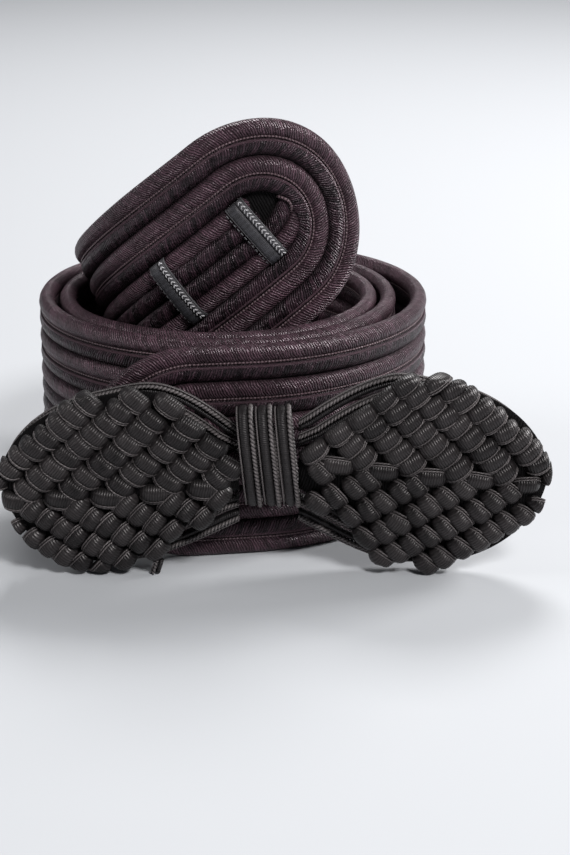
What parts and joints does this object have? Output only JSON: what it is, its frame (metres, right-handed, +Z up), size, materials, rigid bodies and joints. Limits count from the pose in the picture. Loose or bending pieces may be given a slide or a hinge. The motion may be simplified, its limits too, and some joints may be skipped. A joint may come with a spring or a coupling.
{
  "type": "coiled braid belt with a woven bow buckle",
  "caption": "Belt of thick wound braids sewn side by side, coiled on its edge, with a woven leaf-shaped bow buckle, a wrapped knot, braid keepers on its round tongue and a hidden hook.",
  "frame": {"origin": "under the middle of the whole belt, on the surface that it stands on", "axes": "+X along the bow buckle, from its left leaf to its right leaf; +Y from the buckle towards the back of the coil; +Z up"},
  "size_m": [0.1308, 0.1174, 0.1029],
  "materials": {
    "aubergine_braid": "wound satin thread, dark aubergine with pinkish highlights",
    "charcoal_braid": "wound satin thread, warm charcoal",
    "keeper_braid": "fine black braid with light stitches",
    "hook_steel": "plain, satin"
  },
  "bodies": {
    "root": {"belt_band": "aubergine_braid", "leaf_left": "charcoal_braid", "leaf_left_cord_outer": "charcoal_braid", "leaf_left_cord_inner": "charcoal_braid", "leaf_right": "charcoal_braid", "leaf_right_cord_outer": "charcoal_braid", "leaf_right_cord_inner": "charcoal_braid", "knot": "charcoal_braid", "keeper_tip": "keeper_braid", "keeper_inner": "keeper_braid", "hook": "hook_steel"}
  },
  "joints": []
}
